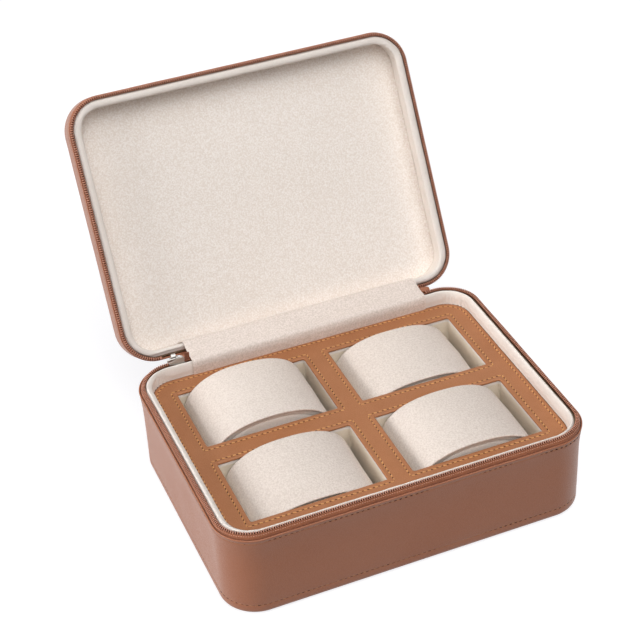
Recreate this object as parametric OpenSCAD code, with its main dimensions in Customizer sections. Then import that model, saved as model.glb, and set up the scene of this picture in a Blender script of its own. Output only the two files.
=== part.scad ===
// Zipped travel case for four watches: leather skins over board, a padded lining,
// a stitched tray with four pockets, a removable cushion in each pocket, and a
// hinged lid that a coil zipper closes on three sides.
// +Z is up, +Y is towards the hinge, and the origin is the middle of the resting face.
// The lid is drawn shut and then turned back to its open rest position.

/* [Case] */
// Width of the case over its side walls
case_w = 211; // [190:1:240]
// Depth of the case over its front and back walls
case_d = 157.5; // [140:0.5:190]
// Radius of the four upright corners
corner_r = 21; // [19:0.5:26]
// Height of the base's leather edge above the table
base_h = 53.5; // [48:0.5:70]
// Thickness of the leather
leather_t = 1.2; // [0.9:0.1:1.6]
// Thickness of the stiffening board in the walls
board_t = 1.5; // [1:0.1:2]
// Thickness of the padded lining on the walls
lining_t = 2.9; // [2.4:0.1:3.4]
// Radius of the base's bottom edge
bottom_edge_r = 3; // [2.5:0.1:4]
// How far the folded leather edge stands out at the rim
rim_flare = 1.2; // [0.6:0.1:1.6]
// Height of the folded leather band at the rim
rim_band_h = 4; // [3:0.5:6]
// Height over which the leather slopes out to the rim band
rim_slope_h = 4.5; // [3:0.5:8]
// Width of the leather hem that turns under the base
hem_w = 5; // [4:0.5:8]

/* [Floor] */
// Thickness of the leather panel under the base
bottom_panel_t = 1.5; // [1:0.1:2]
// Thickness of the floor board
floor_board_t = 2; // [1.5:0.1:3]
// Thickness of the foam pad on each pocket floor
floor_pad_t = 5; // [3:0.5:8]

/* [Tray] */
// How far the tray lies below the rim
tray_drop = 6.3; // [4:0.1:12]
// Thickness of the tray's board
tray_board_t = 2.1; // [1.5:0.1:3]
// Width of the tray's border, from its edge to the openings
tray_border = 14; // [11:0.5:18]
// Width of the bar between the left and right openings
middle_bar_w = 15.2; // [12:0.1:20]
// Width of the bar between the front and back openings
cross_bar_w = 16; // [12:0.1:20]
// Corner radius of the openings
opening_r = 1.2; // [1:0.1:3]
// Thickness of the velvet-covered pocket walls
pocket_t = 1.5; // [1:0.1:2]
// How far the pocket walls stand back from the opening's edge
pocket_set_back = 0.4; // [0.2:0.1:0.8]

/* [Cushions] */
// How far the front left cushion stands above the tray
rise_front_left = 3.3; // [1:0.1:12]
// How far the front right cushion stands above the tray
rise_front_right = 5.8; // [1:0.1:12]
// How far the back left cushion stands above the tray
rise_back_left = 9; // [1:0.1:12]
// How far the back right cushion stands above the tray
rise_back_right = 3; // [1:0.1:12]
// Gap between a cushion and the left and right pocket walls
cushion_side_gap = 2.9; // [1:0.1:6]
// Gap between a cushion and the front and back pocket walls
cushion_end_gap = 1.3; // [0.6:0.1:3]
// Thickness of a cushion's velvet sleeve
sleeve_t = 1.4; // [1:0.1:2]
// How far a cushion's end panels lie inside its sleeve
end_recess = 1.6; // [1:0.1:2.5]

/* [Zipper] */
// Height from a leather edge to the plane where the zipper closes
zip_rise = 3.3; // [3.2:0.1:4]
// Thickness of the zipper tape
tape_t = 0.6; // [0.5:0.05:0.7]
// Depth to which the base's tape is sewn in behind the leather
tape_depth = 13.5; // [9.5:0.5:20]
// Depth to which the lid's tape is sewn in behind the leather
lid_tape_depth = 3.5; // [2:0.5:5]
// Distance from one zipper tooth to the next
tooth_pitch = 1.3; // [1.2:0.1:2.6]
// Height of a zipper tooth
tooth_h = 1.1; // [0.8:0.1:1.2]
// Width of a zipper tooth across the tape
tooth_w = 1.8; // [1.6:0.1:1.9]
// Length of the zipper slider
slider_l = 10; // [9:0.5:10]
// How far the slider can run before the zipper turns the corner
slider_run = 3.4; // [2:0.1:3.6]
// Length of the pull
pull_l = 30; // [20:1:36]
// Width of the pull
pull_w = 7; // [5:0.5:8]

/* [Hinge] */
// Distance from the back left corner's end to the hinge, where the slider parks
hinge_from_left = 14; // [13.5:0.5:30]
// Distance from the back right corner's end to the hinge
hinge_from_right = 7.5; // [4:0.5:30]
// Gap between the parked slider and the hinge
park_gap = 3.5; // [2.5:0.5:6]
// How far behind the back wall the hinge line lies
hinge_out = 1.55; // [1.3:0.05:2.5]
// How far below the zipper's plane the hinge line lies
hinge_drop = 3.8; // [3.3:0.1:4.5]
// Thickness of the lining hinge
flap_t = 0.9; // [0.6:0.1:1.2]

/* [Lid] */
// Height of the lid above the plane where the zipper closes
lid_h = 24; // [22.5:0.5:32]
// Radius of the lid's rounded top edge
lid_edge_r = 8; // [6:0.5:8]
// Depth of the hollow in the lid
lid_depth = 15.1; // [12:0.1:15.5]
// Thickness of the lid's moulded shell
lid_shell_t = 1.5; // [1:0.1:1.8]
// Thickness of the board behind the lid's panel
lid_board_t = 2; // [1.5:0.1:2.5]
// How far the hollow widens from its lip to its panel
lid_flare = 1.4; // [0:0.1:1.6]
// Angle at which the open lid stands
lid_open = 120; // [105:1:125]

/* [Hidden] */
$fn = 96;
fit = 0.1;          // gap between pieces that are glued or dropped in
soft_gap = 0.3;     // gap to a soft piece that another body carries

// Heights
zip_z = base_h + zip_rise;
hem_lift = 0.3;
lip_drop = 0.8;
tray_z = base_h - tray_drop;
floor_z = bottom_panel_t;
block_z = floor_z + floor_board_t;
tray_under = tray_z - leather_t - tray_board_t;
pocket_floor = block_z + pocket_t;
cushion_z = pocket_floor + floor_pad_t + 0.2;

// Distances inwards from the outer face of a wall
board_in = leather_t + tape_t;
lining_in = board_in + board_t;
wall_in = lining_in + lining_t;
lip_r = 1.3;
lip_over = 0.3;
tray_in = wall_in + fit;

// Tray and pockets
tray_w = case_w - 2 * tray_in;
tray_d = case_d - 2 * tray_in;
tray_r = corner_r - tray_in;
opening_w = (tray_w - middle_bar_w) / 2 - tray_border;
opening_d = (tray_d - cross_bar_w) / 2 - tray_border;
opening_x = (middle_bar_w + opening_w) / 2;
opening_y = (cross_bar_w + opening_d) / 2;
pocket_w = opening_w + 2 * (pocket_set_back + pocket_t);
pocket_d = opening_d + 2 * (pocket_set_back + pocket_t);
skirt_t = 1;
cushion_w = opening_w - 2 * cushion_side_gap;
cushion_l = opening_d + 2 * pocket_set_back - 2 * cushion_end_gap;
cushion_power = 2.35;
cushion_steps = 64;

// Zipper
tooth_in = 1.3;
tooth_mid = tooth_in + tooth_w / 2;
tooth_gap = 0.1;
tooth_top = zip_z - tooth_gap;
bead_h = 0.7;
bead_w = 1.6;
tape_low = base_h - tape_depth;
band_z = base_h - rim_band_h;
flare_z = band_z - rim_slope_h;
run_x = case_w / 2 - corner_r;
run_y = case_d / 2 - corner_r;

// Hinge line: just behind the back wall and a little below the zipper's plane
hinge_y = case_d / 2 + hinge_out;
hinge_z = zip_z - hinge_drop;

// Soft hinge: leather outside, lining inside
hinge_left = hinge_from_left - run_x;
hinge_right = run_x - hinge_from_right;
spine_clear = 1.3;

// Slider, parked at the left end of the zipper, behind the back wall's lip
slider_right = hinge_left - park_gap;
slider_x = slider_right - slider_l / 2;
teeth_end_left = slider_right - 0.5;
chain_end_lid = slider_right - slider_l - 1.5;
chain_end_right = hinge_right + 1;
channel_clear = 0.3;
plate_t = 0.7;
plate_outer = tooth_in - channel_clear;
plate_inner = tooth_in + tooth_w + channel_clear;
slider_half = 2.7;
slider_low = tooth_h + bead_h;
inner_plate_half = 3.3;
notch_left = slider_right - slider_l - slider_run - 3;
slider_clear = 0.5;
slider_reach = norm([hinge_out + plate_inner + plate_t, hinge_drop + inner_plate_half]);
bar_y = case_d / 2 + 2.45;
bar_r = 0.6;
bar_clear = 0.08;
bar_span = 3;
eye_r = 1.5;
pull_t = 1.8;

// Lid
lid_in = 0.7;
panel_t = 0.6;
lid_top = zip_z + lid_h;
lid_edge_z = lid_top - lid_edge_r;
lid_wall_in = wall_in + 0.4;
lid_panel_in = lid_wall_in - lid_flare;
lid_board_top = zip_z + lid_depth + panel_t + lid_board_t;
skin_gap = 0.03;     // keeps curved faces that lie on each other from touching

// ---- Shared forms -------------------------------------------------------

// A rounded rectangle with true arcs at its corners
module rounded_rect(w, d, r) {
    square([w - 2 * r, d], center = true);
    square([w, d - 2 * r], center = true);
    for (sx = [-1, 1], sy = [-1, 1])
        translate([sx * (w / 2 - r), sy * (d / 2 - r)]) circle(r);
}

// A flat plate with the case's own outline, drawn in by a distance
module plate(inwards, z0, z1) {
    translate([0, 0, z0]) linear_extrude(z1 - z0)
        rounded_rect(case_w - 2 * inwards, case_d - 2 * inwards, corner_r - inwards);
}

// Carries a wall's cross-section round the case's outline.
// In the section x = 0 is the outer face, minus x is inwards and y is height.
module around_case() {
    for (k = [0:3]) {
        out = k % 2 == 0 ? case_w / 2 : case_d / 2;
        run = (k % 2 == 0 ? case_d / 2 : case_w / 2) - corner_r;
        rotate([0, 0, 90 * k]) {
            translate([out, run, 0]) rotate([90, 0, 0]) linear_extrude(2 * run) children();
            translate([out - corner_r, run, 0])
                rotate_extrude(angle = 90) translate([corner_r, 0]) children();
        }
    }
}

// A rectangle in a wall's section, from one inward distance to another
module strip(in0, in1, z0, z1) {
    translate([-in1, z0]) square([in1 - in0, z1 - z0]);
}

// A quarter ring in a wall's section, on its lower or upper outer corner
module quarter_ring(centre_in, centre_z, r_out, r_in, up) {
    translate([-centre_in, centre_z]) intersection() {
        difference() {
            circle(r_out);
            circle(r_in);
        }
        translate([0, up ? 0 : -r_out]) square(r_out);
    }
}

// Turns what is drawn with the lid shut to the lid's open position
module lid_opened() {
    translate([0, hinge_y, hinge_z]) rotate([-lid_open, 0, 0])
        translate([0, -hinge_y, -hinge_z]) children();
}

// The four pocket centres: sx is -1 on the left, sy is -1 in front
module at_pocket(sx, sy) {
    translate([sx * opening_x, sy * opening_y, 0]) children();
}

// ---- Base ---------------------------------------------------------------

module side_section() {
    band_r = 0.5;
    strip(0, leather_t, hem_lift + bottom_edge_r, flare_z);
    polygon([[0, flare_z], [rim_flare, band_z], [rim_flare - leather_t, band_z],
             [-leather_t, flare_z]]);
    strip(-rim_flare, leather_t - rim_flare, band_z, base_h - band_r);
    strip(band_r - rim_flare, leather_t - rim_flare, base_h - band_r, base_h);
    translate([rim_flare - band_r, base_h - band_r]) circle(band_r);
    quarter_ring(bottom_edge_r, hem_lift + bottom_edge_r, bottom_edge_r,
                 bottom_edge_r - leather_t, false);
    strip(bottom_edge_r, bottom_edge_r + hem_w, hem_lift, hem_lift + leather_t);
}

module side_leather() {
    color("peru") around_case() side_section();
}

module bottom_leather() {
    color("sienna") plate(bottom_edge_r + hem_w + fit, 0, bottom_panel_t);
}

module floor_board() {
    color("tan") plate(bottom_edge_r + fit, floor_z, block_z);
}

module wall_board() {
    color("tan") around_case() strip(board_in, lining_in, block_z, base_h - 0.5);
}

module lip_section(inner) {
    top = zip_z - lip_drop;
    translate([-(lining_in + lip_r), top - lip_r]) circle(lip_r);
    translate([-(inner - lip_r), top - lip_r]) circle(lip_r);
    strip(lining_in + lip_r, inner - lip_r, top - 2 * lip_r, top);
}

module wall_lining() {
    color("antiquewhite") difference() {
        around_case() {
            strip(lining_in + skin_gap, wall_in, block_z, zip_z - lip_drop - lip_r);
            lip_section(wall_in + lip_over);
        }
        // room for the parked slider behind the lip
        translate([notch_left, case_d / 2 - plate_inner - plate_t - 0.2, slider_bottom()])
            cube([hinge_left - notch_left, corner_r, 2 * inner_plate_half]);
    }
}
function slider_bottom() = zip_z - inner_plate_half - 0.2;

// ---- Tray and insert ----------------------------------------------------

module openings(grow, r, z0, z1) {
    for (sx = [-1, 1], sy = [-1, 1]) at_pocket(sx, sy)
        translate([0, 0, z0]) linear_extrude(z1 - z0)
            rounded_rect(opening_w + 2 * grow, opening_d + 2 * grow, r);
}

module tray_leather() {
    color("peru") difference() {
        plate(tray_in, tray_under, tray_z);
        difference() {
            plate(tray_in + skirt_t, tray_under - 1, tray_z - leather_t);
            openings(skirt_t, opening_r, tray_under - 2, tray_z);
        }
        openings(0, opening_r, tray_under - 1, tray_z + 1);
    }
}

module tray_board() {
    color("tan") difference() {
        plate(tray_in + skirt_t, tray_under, tray_z - leather_t);
        openings(skirt_t, opening_r, tray_under - 1, tray_z);
    }
}

block_top = tray_under;
block_reach_x = case_w / 2 - tray_in;
block_reach_y = case_d / 2 - tray_in;
cross_gap = opening_y - pocket_d / 2;
side_x0 = opening_x + pocket_w / 2;
side_y0 = opening_y + pocket_d / 2;

// A foam block, from one corner to the other, cut to the insert's outline
module block(x0, x1, y0, y1) {
    intersection() {
        translate([x0, y0, block_z]) cube([x1 - x0, y1 - y0, block_top - block_z]);
        plate(tray_in, block_z - 1, block_top + 1);
    }
}

module block_front() {
    color("silver") block(-block_reach_x, block_reach_x, -block_reach_y, -side_y0);
}

module block_middle() {
    color("silver") block(-block_reach_x, block_reach_x, -cross_gap, cross_gap);
}

module block_back() {
    color("silver") block(-block_reach_x, block_reach_x, side_y0, block_reach_y);
}

module blocks_between(x0, x1) {
    for (sy = [-1, 1]) {
        near = sy < 0 ? -side_y0 : cross_gap;
        block(x0, x1, near, near + pocket_d);
    }
}

module blocks_left() {
    color("silver") blocks_between(-block_reach_x, -side_x0);
}

module blocks_centre() {
    color("silver") blocks_between(pocket_w / 2 - opening_x, opening_x - pocket_w / 2);
}

module blocks_right() {
    color("silver") blocks_between(side_x0, block_reach_x);
}

module pocket(sx, sy) {
    color("antiquewhite") at_pocket(sx, sy) difference() {
        translate([0, 0, block_z]) linear_extrude(tray_under - block_z)
            square([pocket_w, pocket_d], center = true);
        translate([0, 0, pocket_floor]) linear_extrude(tray_under)
            rounded_rect(pocket_w - 2 * pocket_t, pocket_d - 2 * pocket_t, opening_r);
    }
}

module pad(sx, sy) {
    color("linen") at_pocket(sx, sy) translate([0, 0, pocket_floor]) linear_extrude(floor_pad_t)
        rounded_rect(pocket_w - 2 * pocket_t - 2 * fit, pocket_d - 2 * pocket_t - 2 * fit, opening_r);
}

// ---- Cushions -----------------------------------------------------------

// A cushion's height, from what it rises above the tray
function cushion_h(sx, sy) = tray_z - cushion_z +
    (sx < 0 ? (sy < 0 ? rise_front_left : rise_back_left)
            : (sy < 0 ? rise_front_right : rise_back_right));

// Signed power, for the cushion's soft oval
function soft(v, p) = sign(v) * pow(abs(v), 2 / p);

module cushion_oval(height, shrink) {
    rx = cushion_w / 2 - shrink;
    ry = height / 2 - shrink;
    polygon([for (k = [0:cushion_steps - 1])
        [rx * soft(cos(360 * k / cushion_steps), cushion_power),
         ry * soft(sin(360 * k / cushion_steps), cushion_power)]]);
}

// Lays a cushion's cross-section along the pocket, centred on it
module along_pocket(sx, sy, y0, length) {
    at_pocket(sx, sy) translate([0, y0 + length, cushion_z + cushion_h(sx, sy) / 2])
        rotate([90, 0, 0]) linear_extrude(length) children();
}

module sleeve(sx, sy) {
    color("antiquewhite") along_pocket(sx, sy, -cushion_l / 2, cushion_l) difference() {
        cushion_oval(cushion_h(sx, sy), 0);
        cushion_oval(cushion_h(sx, sy), sleeve_t);
    }
}

module core(sx, sy) {
    core_l = cushion_l - 2 * (end_recess + sleeve_t);
    color("gray") along_pocket(sx, sy, -core_l / 2, core_l)
        cushion_oval(cushion_h(sx, sy), sleeve_t + 0.02);
}

module ends(sx, sy) {
    color("lightgray") for (s = [-1, 1])
        along_pocket(sx, sy, s * (cushion_l / 2 - end_recess - sleeve_t / 2) - sleeve_t / 2, sleeve_t)
            cushion_oval(cushion_h(sx, sy), sleeve_t + 0.02);
}

// ---- Zipper -------------------------------------------------------------

// Section of the tape, from its hem inside the wall to the bead under the teeth
module base_tape_section() {
    inner = leather_t + tape_t;
    rim_in = leather_t - rim_flare;
    polygon([[-leather_t - 0.02, tape_low], [-leather_t - 0.02, flare_z],
             [-rim_in - 0.02, band_z], [-rim_in - 0.02, base_h - 0.6],
             [-tooth_in, tooth_top - tooth_h - bead_h],
             [-tooth_in, tooth_top - tooth_h],
             [-tooth_in - bead_w, tooth_top - tooth_h],
             [-tooth_in - bead_w, tooth_top - tooth_h - bead_h],
             [-rim_in - tape_t, base_h - 0.9], [-rim_in - tape_t, band_z + 0.2],
             [-inner + 0.02, flare_z + 0.2], [-inner + 0.02, tape_low]]);
}

// Cuts what is drawn round the case to the zipper's run: all of it but the hinge
module zipper_run(left_end) {
    difference() {
        children();
        translate([left_end, case_d / 2 - corner_r / 2, 0])
            cube([chain_end_right - left_end, corner_r, lid_top]);
    }
}

module base_tape() {
    color("rosybrown") zipper_run(hinge_left)
        around_case() base_tape_section();
}

// Where a tooth stands, at a length s along the zipper from the right end of the
// back wall and clockwise to its left end: its place and its heading
tooth_r = corner_r - tooth_mid;
arc_l = tooth_r * PI / 2;
leg = [run_x - chain_end_right, arc_l, 2 * run_y, arc_l, 2 * run_x, arc_l, 2 * run_y, arc_l];
function sum_to(n) = n == 0 ? 0 : leg[n - 1] + sum_to(n - 1);
centres = [[run_x, run_y], [run_x, -run_y], [-run_x, -run_y], [-run_x, run_y]];

function leg_of(s, n = 0) = n >= 8 ? 8 : s < sum_to(n + 1) ? n : leg_of(s, n + 1);

// Distance along a leg, then the point and heading on a straight or round leg
function tooth_place(s) =
    let (n = leg_of(s), t = s - sum_to(n), corner = floor(n / 2),
         round_leg = n % 2 == 1,
         turn = 90 * corner + (round_leg ? t / tooth_r * 180 / PI : 0),
         c = round_leg ? centres[corner] : centres[(corner + 3) % 4],
         ahead = round_leg ? 0 : n == 0 ? t + chain_end_right + run_x : t)
    [c[0] + tooth_r * sin(turn) + ahead * cos(turn),
     c[1] + tooth_r * cos(turn) - ahead * sin(turn), -turn];

tooth_l = 0.62 * tooth_pitch;

// One row of teeth on the rim, as far as the given length of zipper
module teeth(first, length, z0) {
    for (s = [first : tooth_pitch : length]) {
        p = tooth_place(s);
        translate([p[0], p[1], z0]) rotate([0, 0, p[2]])
            translate([-tooth_l / 2, -tooth_w / 2, 0]) cube([tooth_l, tooth_w, tooth_h]);
    }
}
base_run_l = sum_to(8) + run_x + teeth_end_left;
lid_run_l = sum_to(8) + run_x + chain_end_lid - tooth_pitch / 2;

module base_teeth() {
    color("brown") teeth(tooth_pitch / 2, base_run_l, tooth_top - tooth_h);
}

module lid_teeth() {
    color("brown") lid_opened() teeth(tooth_pitch, lid_run_l, zip_z + tooth_gap);
}

// The joined end of both tapes, behind the parked slider
module tape_end() {
    color("rosybrown")
        translate([slider_right + 0.3, case_d / 2 - tooth_mid - tape_t / 2, tooth_top - tooth_h])
            cube([hinge_left - slider_right - 0.6, tape_t, 2 * inner_plate_half - 1.8]);
}

// ---- Slider and pull ----------------------------------------------------

module zip_slider() {
    back = case_d / 2;
    color("silver") translate([slider_x, back, zip_z]) {
        // inner plate, towards the tray
        translate([-slider_l / 2, -plate_inner - plate_t, -inner_plate_half])
            cube([slider_l, plate_t, 2 * inner_plate_half]);
        // outer plate, towards the back, clear of the tape below it
        translate([-slider_l / 2, -plate_outer, -slider_low])
            cube([slider_l, plate_t, slider_low + slider_half]);
        // neck that parts the two rows of teeth, at the end that leads
        translate([slider_l / 2 - 1.6, -plate_inner, tooth_gap + tooth_h - 0.9])
            cube([1.6, plate_inner - plate_outer, 1.2]);
    }
}

module slider_bail() {
    leg_l = bar_y - case_d / 2 + plate_outer - plate_t;
    color("silver") for (s = [-1, 1])
        translate([slider_x + s * (bar_span / 2 + 0.6) - 0.6, bar_y - leg_l, zip_z - 0.7])
            cube([1.2, leg_l + bar_r, 1.4]);
    color("silver") translate([slider_x - bar_span / 2, bar_y, zip_z]) rotate([0, 90, 0])
        cylinder(h = bar_span, r = bar_r);
}

module pull_link() {
    eye_w = bar_span - 0.4;
    color("silver") difference() {
        union() {
            translate([slider_x - eye_w / 2, bar_y, zip_z]) rotate([0, 90, 0])
                cylinder(h = eye_w, r = eye_r);
            translate([slider_x - eye_w / 2, bar_y - pull_t / 2, zip_z - eye_r - 5])
                cube([eye_w, pull_t, eye_r + 5]);
        }
        translate([slider_x - eye_w, bar_y, zip_z]) rotate([0, 90, 0])
            cylinder(h = 2 * eye_w, r = bar_r + bar_clear);
    }
}

module pull_tab() {
    top = zip_z - eye_r - 3;
    socket_w = bar_span - 0.4;
    color("peru") difference() {
        translate([slider_x, bar_y + pull_t / 2, top - pull_l / 2]) rotate([90, 0, 0])
            linear_extrude(pull_t) rounded_rect(pull_w, pull_l, 2);
        translate([slider_x - socket_w / 2, bar_y - pull_t, top - 2])
            cube([socket_w, 2 * pull_t, 4]);
    }
}

// ---- Soft hinge ---------------------------------------------------------

function bezier(p, t) = let (u = 1 - t)
    u * u * u * p[0] + 3 * u * u * t * p[1] + 3 * u * t * t * p[2] + t * t * t * p[3];
function slope(p, t) = let (u = 1 - t)
    3 * u * u * (p[1] - p[0]) + 6 * u * t * (p[2] - p[1]) + 3 * t * t * (p[3] - p[2]);
function side_point(p, t, d) = let (q = bezier(p, t), v = slope(p, t))
    q + d * [-v[1], v[0]] / norm(v);
function ribbon(p, t_mm, steps = 16) = concat(
    [for (k = [0:steps]) side_point(p, k / steps, t_mm / 2)],
    [for (k = [steps:-1:0]) side_point(p, k / steps, -t_mm / 2)]);

// A point of the lid's section, given inwards and upwards from the shut rim's
// outer corner, where it lies with the lid open: [y, z]
function lid_point(inwards, up) =
    let (y = case_d / 2 - inwards - hinge_y, z = zip_z + up - hinge_z)
    [hinge_y + y * cos(lid_open) + z * sin(lid_open),
     hinge_z - y * sin(lid_open) + z * cos(lid_open)];

// Extrudes a section drawn in [y, z] along the hinge
module along_hinge(x0, x1) {
    translate([x0, 0, 0]) rotate([90, 0, 90]) linear_extrude(x1 - x0) children();
}

module leather_hinge() {
    start = [case_d / 2 + rim_flare - leather_t / 2, base_h + 0.02];
    finish = lid_point(lid_in + leather_t / 2, zip_rise - soft_gap);
    before = lid_point(lid_in + leather_t / 2, zip_rise - soft_gap - rim_slope_h);
    color("peru") along_hinge(hinge_left + spine_clear, hinge_right - spine_clear)
        polygon(ribbon([start, start + [0, 1.8], before, finish], leather_t));
}

module lining_hinge() {
    lip_top = zip_z - lip_drop;
    face = case_d / 2 - wall_in - lip_over - 0.05 - flap_t / 2;
    foot = [face, tray_z + 0.15];
    rise = [face, lip_top - 1];
    over = lid_point(lid_wall_in + lip_over + soft_gap + flap_t / 2, lip_drop + 0.6);
    deep = lid_point(lid_panel_in + lip_over + soft_gap + flap_t / 2, lid_depth - soft_gap);
    color("antiquewhite") along_hinge(hinge_left, hinge_right) {
        polygon([foot - [flap_t / 2, 0], foot + [flap_t / 2, 0],
                 rise + [flap_t / 2, 0], rise - [flap_t / 2, 0]]);
        polygon(ribbon([rise, rise + [0, 2 * lip_r], over - [2 * lining_t + 5, 1.5], over], flap_t));
        polygon(ribbon([over, over + [2 * flap_t, 0], deep - (deep - over) / 3, deep], flap_t));
    }
}

// ---- Lid, drawn shut ----------------------------------------------------

lid_centre_in = lid_in + lid_edge_r;

// Section of the lid's outside, as deep as the given distance from its face
module dome_section(depth, low) {
    r = lid_edge_r - depth;
    strip(lid_in + depth, lid_centre_in, low, lid_edge_z);
    translate([-lid_centre_in, lid_edge_z]) intersection() {
        circle(r);
        square(r);
    }
}

module lid_leather() {
    color("peru") lid_opened() {
        around_case() difference() {
            dome_section(0, zip_z + zip_rise);
            dome_section(leather_t, zip_z);
        }
        plate(lid_centre_in, lid_top - leather_t, lid_top);
    }
}

// Foam between the leather and the shell, thicker over the top
module lid_padding() {
    under = leather_t + tape_t;
    color("khaki") lid_opened() {
        around_case() {
            difference() {
                dome_section(leather_t + skin_gap, lid_edge_z + 1);
                dome_section(under, zip_z);
            }
            intersection() {
                dome_section(under + lid_shell_t + skin_gap, zip_z);
                strip(0, lid_centre_in, lid_board_top, lid_top);
            }
        }
        plate(lid_centre_in, lid_board_top, lid_top - leather_t);
    }
}

module lid_shell() {
    under = leather_t + tape_t;
    color("tan") lid_opened() around_case() difference() {
        dome_section(under + skin_gap, zip_z + zip_rise + 1);
        dome_section(under + lid_shell_t, zip_z);
    }
}

module lid_board() {
    color("tan") lid_opened()
        plate(lid_panel_in + fit, zip_z + lid_depth + panel_t, lid_board_top);
}

lid_lip_outer = 3.3;

module lid_wall_lining() {
    under = leather_t + tape_t + lid_shell_t + skin_gap;
    low = zip_z + lip_drop;
    foot = zip_z + zip_rise;
    color("antiquewhite") lid_opened() difference() {
        around_case() {
            intersection() {
                dome_section(under, foot);
                polygon([[0, foot], [0, lid_board_top], [-lid_panel_in, lid_board_top],
                         [-lid_panel_in, zip_z + lid_depth], [-lid_wall_in, low + 2 * lip_r],
                         [-lid_wall_in, foot]]);
            }
            translate([-(lid_lip_outer + lip_r), low + lip_r]) circle(lip_r);
            translate([-(lid_wall_in + lip_over - lip_r), low + lip_r]) circle(lip_r);
            strip(lid_lip_outer + lip_r, lid_wall_in + lip_over - lip_r, low, low + 2 * lip_r);
        }
        // room for the parked slider as the lid swings over it
        translate([notch_left, hinge_y, hinge_z]) rotate([0, 90, 0])
            cylinder(h = hinge_left - notch_left, r = slider_reach + slider_clear);
    }
}

module lid_panel() {
    color("linen") lid_opened()
        plate(lid_panel_in + fit, zip_z + lid_depth, zip_z + lid_depth + panel_t);
}

module lid_tape() {
    rim_in = lid_in + leather_t;
    up = zip_z + zip_rise;
    tip = zip_z + tooth_gap + tooth_h;
    color("rosybrown") lid_opened() zipper_run(chain_end_lid) around_case()
        polygon([[-rim_in - 0.02, up + lid_tape_depth], [-rim_in - 0.02, up + 0.2],
                 [-tooth_in, tip + bead_h], [-tooth_in, tip],
                 [-tooth_in - bead_w, tip], [-tooth_in - bead_w, tip + bead_h],
                 [-rim_in - tape_t, up + 0.4], [-rim_in - tape_t + 0.02, up + lid_tape_depth]]);
}

// ---- Output -------------------------------------------------------------

side_leather();
bottom_leather();
floor_board();
wall_board();
wall_lining();
tray_leather();
tray_board();
block_front();
block_middle();
block_back();
blocks_left();
blocks_centre();
blocks_right();
pocket(-1, -1);  // pocket_front_left
pocket(1, -1);  // pocket_front_right
pocket(-1, 1);  // pocket_back_left
pocket(1, 1);  // pocket_back_right
pad(-1, -1);  // pad_front_left
pad(1, -1);  // pad_front_right
pad(-1, 1);  // pad_back_left
pad(1, 1);  // pad_back_right
base_tape();
base_teeth();
tape_end();
leather_hinge();
lining_hinge();
zip_slider();
slider_bail();
pull_link();
pull_tab();
sleeve(-1, -1);  // sleeve_front_left
sleeve(1, -1);  // sleeve_front_right
sleeve(-1, 1);  // sleeve_back_left
sleeve(1, 1);  // sleeve_back_right
core(-1, -1);  // core_front_left
core(1, -1);  // core_front_right
core(-1, 1);  // core_back_left
core(1, 1);  // core_back_right
ends(-1, -1);  // ends_front_left
ends(1, -1);  // ends_front_right
ends(-1, 1);  // ends_back_left
ends(1, 1);  // ends_back_right
lid_leather();
lid_padding();
lid_shell();
lid_board();
lid_wall_lining();
lid_panel();
lid_tape();
lid_teeth();
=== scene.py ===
import math
import bpy
import bmesh
from mathutils import Matrix, Vector, noise

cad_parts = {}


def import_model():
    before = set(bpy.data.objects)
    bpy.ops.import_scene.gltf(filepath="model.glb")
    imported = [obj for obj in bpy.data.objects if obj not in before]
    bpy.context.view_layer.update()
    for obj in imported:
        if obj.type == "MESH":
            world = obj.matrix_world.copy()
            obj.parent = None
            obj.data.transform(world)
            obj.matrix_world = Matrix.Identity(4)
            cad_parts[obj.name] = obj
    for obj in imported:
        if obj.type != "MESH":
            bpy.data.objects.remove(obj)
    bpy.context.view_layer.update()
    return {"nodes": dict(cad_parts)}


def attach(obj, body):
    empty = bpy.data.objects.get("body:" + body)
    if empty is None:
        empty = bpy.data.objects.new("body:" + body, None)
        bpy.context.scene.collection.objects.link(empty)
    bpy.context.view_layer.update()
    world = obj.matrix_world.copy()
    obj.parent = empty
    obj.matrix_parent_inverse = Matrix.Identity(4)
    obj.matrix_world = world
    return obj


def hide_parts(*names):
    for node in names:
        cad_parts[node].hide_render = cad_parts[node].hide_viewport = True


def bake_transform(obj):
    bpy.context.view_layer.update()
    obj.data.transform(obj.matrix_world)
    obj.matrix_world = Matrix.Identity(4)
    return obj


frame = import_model()
NODES = frame["nodes"]
MM = 0.001

# ---- Sizes, in millimetres, as in the CAD source ---------------------------
W, D, R = 211.0, 157.5, 21.0          # case over its walls, and its upright corners
TRAY_Z, TRAY_IN = 47.2, 6.3           # tray's surface, and its edge from the outside
OPEN_W, OPEN_D, OPEN_R = 77.6, 50.45, 1.2       # an opening of the tray
OPEN_X, OPEN_Y = 46.4, 33.225         # its middle, from the middle of the case
HINGE_Y, HINGE_Z, LID_OPEN = 80.3, 53.0, 120.0
FLAP_X0, FLAP_X1 = -70.5, 77.0        # ends of the lining flap at the hinge
ZIP_Z = 56.8                          # plane where the zipper closes
TOOTH_MID, PITCH = 2.2, 1.3           # middle of a coil from the outside, and its turns
ZIP_RIGHT = 78.0                      # where tapes and coils end on the right
LID_TAPE_LEFT = -W / 2 + R + 0.1      # and on the left, beside the slider
BASE_COIL_LEFT, LID_COIL_LEFT = -74.5, -85.5
SLIDER_X = -79.0
CLEARED = (-97.0, -58.0)              # where the linings make way for the slider
CUSHION_W, CUSHION_L, CUSHION_Z0 = 71.8, 48.65, 10.2
END_IN, AROUND = 1.75, 112            # a cushion's ends under its sleeve; points round it
NAMES = {(-1, -1): "front_left", (1, -1): "front_right",
         (-1, 1): "back_left", (1, 1): "back_right"}
RISE = {(-1, -1): 3.3, (1, -1): 5.8, (-1, 1): 9.0, (1, 1): 3.0}       # over the tray
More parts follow.
